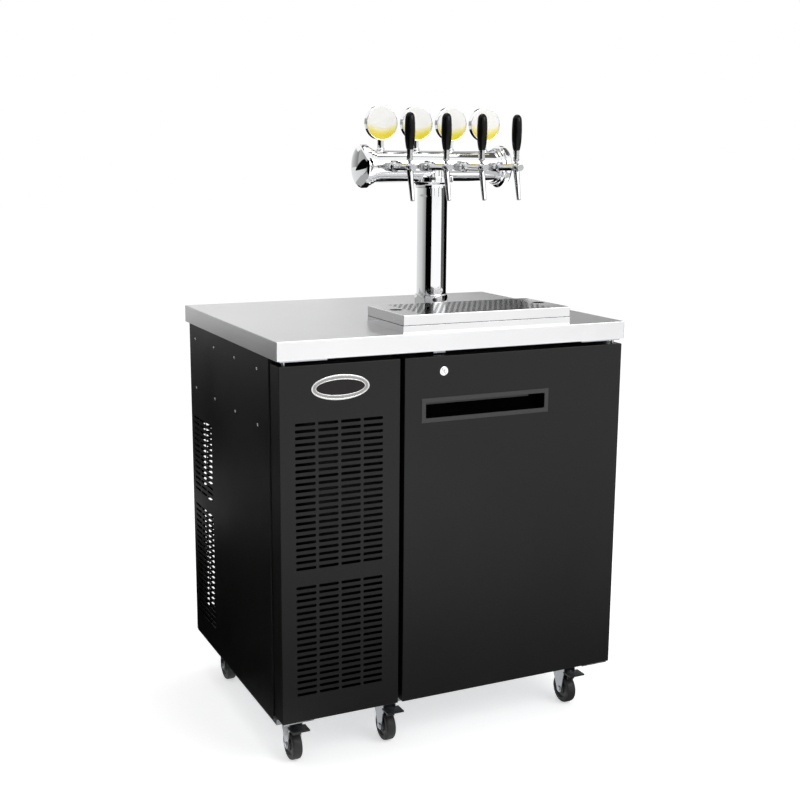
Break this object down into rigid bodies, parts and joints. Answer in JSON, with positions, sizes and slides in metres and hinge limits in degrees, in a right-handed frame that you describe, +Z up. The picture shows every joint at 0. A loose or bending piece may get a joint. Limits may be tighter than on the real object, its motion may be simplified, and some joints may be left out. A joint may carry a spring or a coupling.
{
  "type": "draft beer cooler",
  "caption": "Single-door draft beer cooler on casters: black cabinet with slotted grille, stainless worktop, drip tray and chrome T tower with taps.",
  "frame": {"origin": "on the floor, under the middle of the worktop", "axes": "+X to the object's right as seen from in front, -Y the front, +Z up"},
  "size_m": [0.9, 0.716, 1.5245],
  "materials": {
    "worktop_steel": "satin",
    "galvanised_steel": "satin",
    "black_panel": "satin",
    "galvanised_panel": "satin",
    "foam": "matte",
    "liner": "satin",
    "zinc_plate": "satin",
    "compressor_black": "gloss",
    "coil_metal": "matte",
    "white_plastic": "matte",
    "dark_plastic": "satin",
    "chrome": "polished",
    "medallion_face": "gloss",
    "beer_line": "gloss",
    "tray_steel": "satin",
    "black_leaf": "satin",
    "door_inside": "satin",
    "gasket": "matte",
    "badge_silver": "satin",
    "tap_handle_black": "gloss",
    "pedal_black": "satin",
    "wheel_rubber": "matte"
  },
  "bodies": {
    "cabinet": {"worktop": "worktop_steel", "base_tray": "galvanised_steel", "left_side_panel": "black_panel", "right_side_panel": "black_panel", "rear_panel": "galvanised_panel", "partition_wall": "foam", "right_wall": "foam", "back_wall": "foam", "ceiling_wall": "foam", "floor_wall": "foam", "cabinet_liner": "liner", "hinge_brackets": "zinc_plate", "lock_strike": "zinc_plate", "screws": "zinc_plate", "compressor": "compressor_black", "condenser_coil": "coil_metal", "fan_shroud": "galvanised_steel", "fan_motors": "compressor_black", "evaporator_coil": "coil_metal", "evaporator_cover": "white_plastic", "control_box": "dark_plastic", "tower_flange": "chrome", "tower_column": "chrome", "tower_collar": "chrome", "tower_bar": "chrome", "bar_end_caps": "chrome", "tap_couplings": "chrome", "tap_bodies": "chrome", "medallion_cases": "chrome", "medallion_faces": "medallion_face", "beer_lines": "beer_line", "caster_mounts": "zinc_plate"},
    "condenser_fan": {"condenser_fan": "dark_plastic"},
    "evaporator_fan": {"evaporator_fan": "dark_plastic"},
    "tap_lever_1": {"tap_lever_1": "tap_handle_black"},
    "tap_lever_2": {"tap_lever_2": "tap_handle_black"},
    "tap_lever_3": {"tap_lever_3": "tap_handle_black"},
    "tap_lever_4": {"tap_lever_4": "tap_handle_black"},
    "drip_pan": {"drip_pan": "tray_steel"},
    "drip_lid": {"drip_lid": "tray_steel"},
    "door": {"door_shell": "black_leaf", "door_liner": "door_inside", "door_gasket": "gasket", "door_handle": "dark_plastic", "lock_barrel": "zinc_plate"},
    "lock": {"lock_plug": "zinc_plate"},
    "grille": {"grille_panel": "black_leaf", "badge": "badge_silver"},
    "fork_left": {"caster_fork_left": "zinc_plate"},
    "fork_middle": {"caster_fork_middle": "zinc_plate"},
    "fork_right": {"caster_fork_right": "zinc_plate"},
    "pedal_left": {"brake_pedal_left": "pedal_black"},
    "pedal_middle": {"brake_pedal_middle": "pedal_black"},
    "pedal_right": {"brake_pedal_right": "pedal_black"},
    "front_wheel_left": {"front_wheel_left": "wheel_rubber"},
    "front_wheel_middle": {"front_wheel_middle": "wheel_rubber"},
    "front_wheel_right": {"front_wheel_right": "wheel_rubber"},
    "rear_wheel_left": {"rear_wheel_left": "wheel_rubber"},
    "rear_wheel_middle": {"rear_wheel_middle": "wheel_rubber"},
    "rear_wheel_right": {"rear_wheel_right": "wheel_rubber"}
  },
  "joints": [
    {"name": "door_hinge", "type": "hinge", "parent": "cabinet", "child": "door", "pos_m": [0.428, -0.34, 0.545], "axis": [0, 0, 1], "range_deg": [0, 105]},
    {"name": "grille_hinge", "type": "hinge", "parent": "cabinet", "child": "grille", "pos_m": [-0.428, -0.34, 0.545], "axis": [0, 0, -1], "range_deg": [0, 95]},
    {"name": "lock_turn", "type": "hinge", "parent": "door", "child": "lock", "pos_m": [-0.0448, -0.35, 0.9227], "axis": [0, -1, 0], "range_deg": [0, 90]},
    {"name": "tap_lever_1_pull", "type": "hinge", "parent": "cabinet", "child": "tap_lever_1", "pos_m": [-0.0645, -0.20805, 1.3795], "axis": [1, 0, 0], "range_deg": [0, 30]},
    {"name": "tap_lever_2_pull", "type": "hinge", "parent": "cabinet", "child": "tap_lever_2", "pos_m": [0.0305, -0.20805, 1.3795], "axis": [1, 0, 0], "range_deg": [0, 30]},
    {"name": "tap_lever_3_pull", "type": "hinge", "parent": "cabinet", "child": "tap_lever_3", "pos_m": [0.1255, -0.20805, 1.3795], "axis": [1, 0, 0], "range_deg": [0, 30]},
    {"name": "tap_lever_4_pull", "type": "hinge", "parent": "cabinet", "child": "tap_lever_4", "pos_m": [0.2205, -0.20805, 1.3795], "axis": [1, 0, 0], "range_deg": [0, 30]},
    {"name": "condenser_fan_spin", "type": "hinge", "parent": "cabinet", "child": "condenser_fan", "pos_m": [-0.3024, -0.218, 0.294], "axis": [0, 1, 0], "continuous": true},
    {"name": "evaporator_fan_spin", "type": "hinge", "parent": "cabinet", "child": "evaporator_fan", "pos_m": [-0.038, 0.1428, 0.8318], "axis": [1, 0, 0], "continuous": true},
    {"name": "drip_pan_lift", "type": "slide", "parent": "cabinet", "child": "drip_pan", "axis": [0, 0, 1], "range_m": [0, 0.06]},
    {"name": "drip_lid_lift", "type": "slide", "parent": "drip_pan", "child": "drip_lid", "axis": [0, 0, 1], "range_m": [0, 0.04]},
    {"name": "swivel_left", "type": "hinge", "parent": "cabinet", "child": "fork_left", "pos_m": [-0.391, -0.252, 0.102], "axis": [0, 0, 1], "continuous": true},
    {"name": "swivel_middle", "type": "hinge", "parent": "cabinet", "child": "fork_middle", "pos_m": [-0.149, -0.252, 0.102], "axis": [0, 0, 1], "continuous": true},
    {"name": "swivel_right", "type": "hinge", "parent": "cabinet", "child": "fork_right", "pos_m": [0.368, -0.252, 0.102], "axis": [0, 0, 1], "continuous": true},
    {"name": "front_axle_left", "type": "hinge", "parent": "fork_left", "child": "front_wheel_left", "pos_m": [-0.391, -0.274, 0.0375], "axis": [1, 0, 0], "continuous": true},
    {"name": "front_axle_middle", "type": "hinge", "parent": "fork_middle", "child": "front_wheel_middle", "pos_m": [-0.149, -0.274, 0.0375], "axis": [1, 0, 0], "continuous": true},
    {"name": "front_axle_right", "type": "hinge", "parent": "fork_right", "child": "front_wheel_right", "pos_m": [0.368, -0.274, 0.0375], "axis": [1, 0, 0], "continuous": true},
    {"name": "rear_axle_left", "type": "hinge", "parent": "cabinet", "child": "rear_wheel_left", "pos_m": [-0.391, 0.228, 0.0375], "axis": [1, 0, 0], "continuous": true},
    {"name": "rear_axle_middle", "type": "hinge", "parent": "cabinet", "child": "rear_wheel_middle", "pos_m": [-0.149, 0.228, 0.0375], "axis": [1, 0, 0], "continuous": true},
    {"name": "rear_axle_right", "type": "hinge", "parent": "cabinet", "child": "rear_wheel_right", "pos_m": [0.368, 0.228, 0.0375], "axis": [1, 0, 0], "continuous": true},
    {"name": "brake_left", "type": "hinge", "parent": "fork_left", "child": "pedal_left", "pos_m": [-0.391, -0.29, 0.092], "axis": [1, 0, 0], "range_deg": [0, 12]},
    {"name": "brake_middle", "type": "hinge", "parent": "fork_middle", "child": "pedal_middle", "pos_m": [-0.149, -0.29, 0.092], "axis": [1, 0, 0], "range_deg": [0, 12]},
    {"name": "brake_right", "type": "hinge", "parent": "fork_right", "child": "pedal_right", "pos_m": [0.368, -0.29, 0.092], "axis": [1, 0, 0], "range_deg": [0, 12]}
  ]
}
